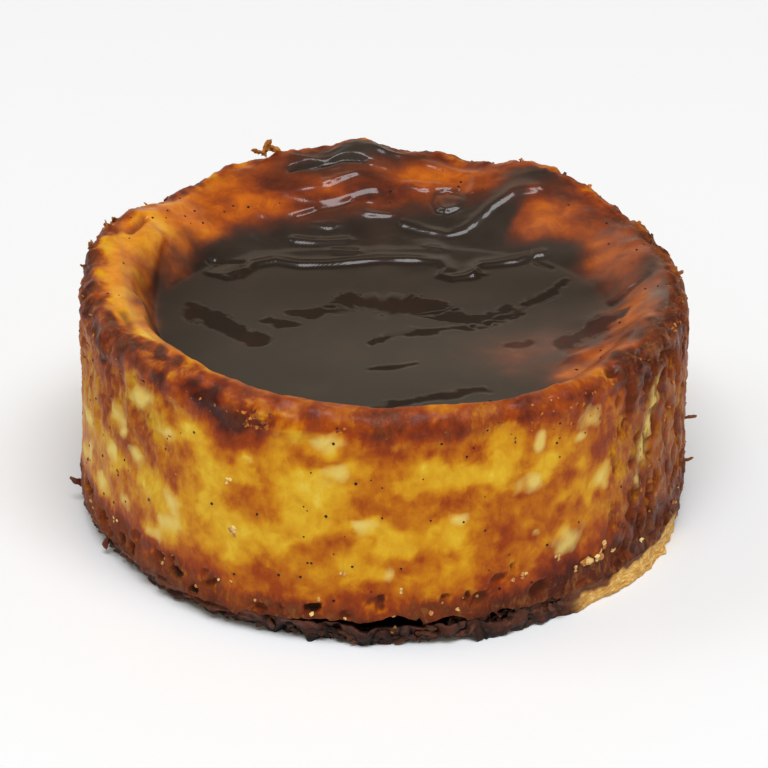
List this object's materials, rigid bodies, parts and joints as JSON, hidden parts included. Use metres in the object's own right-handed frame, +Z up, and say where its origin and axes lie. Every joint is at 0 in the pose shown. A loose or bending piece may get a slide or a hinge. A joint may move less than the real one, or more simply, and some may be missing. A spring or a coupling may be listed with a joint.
{
  "type": "custard flan",
  "caption": "Small round baked custard flan with a browned, glossy, sunken top, mottled golden sides and a thin ragged pastry base.",
  "frame": {"origin": "on the table, under the middle of the flan", "axes": "+Z up, -Y towards the front that the picture shows, +X to the right seen from the front"},
  "size_m": [0.0913, 0.0909, 0.0386],
  "materials": {
    "custard": "moist baked custard, browned in patches, glossy dark skin on top",
    "pastry": "dry baked pastry, dark and flaky"
  },
  "bodies": {
    "root": {"custard": "custard", "pastry_base": "pastry"}
  },
  "joints": []
}
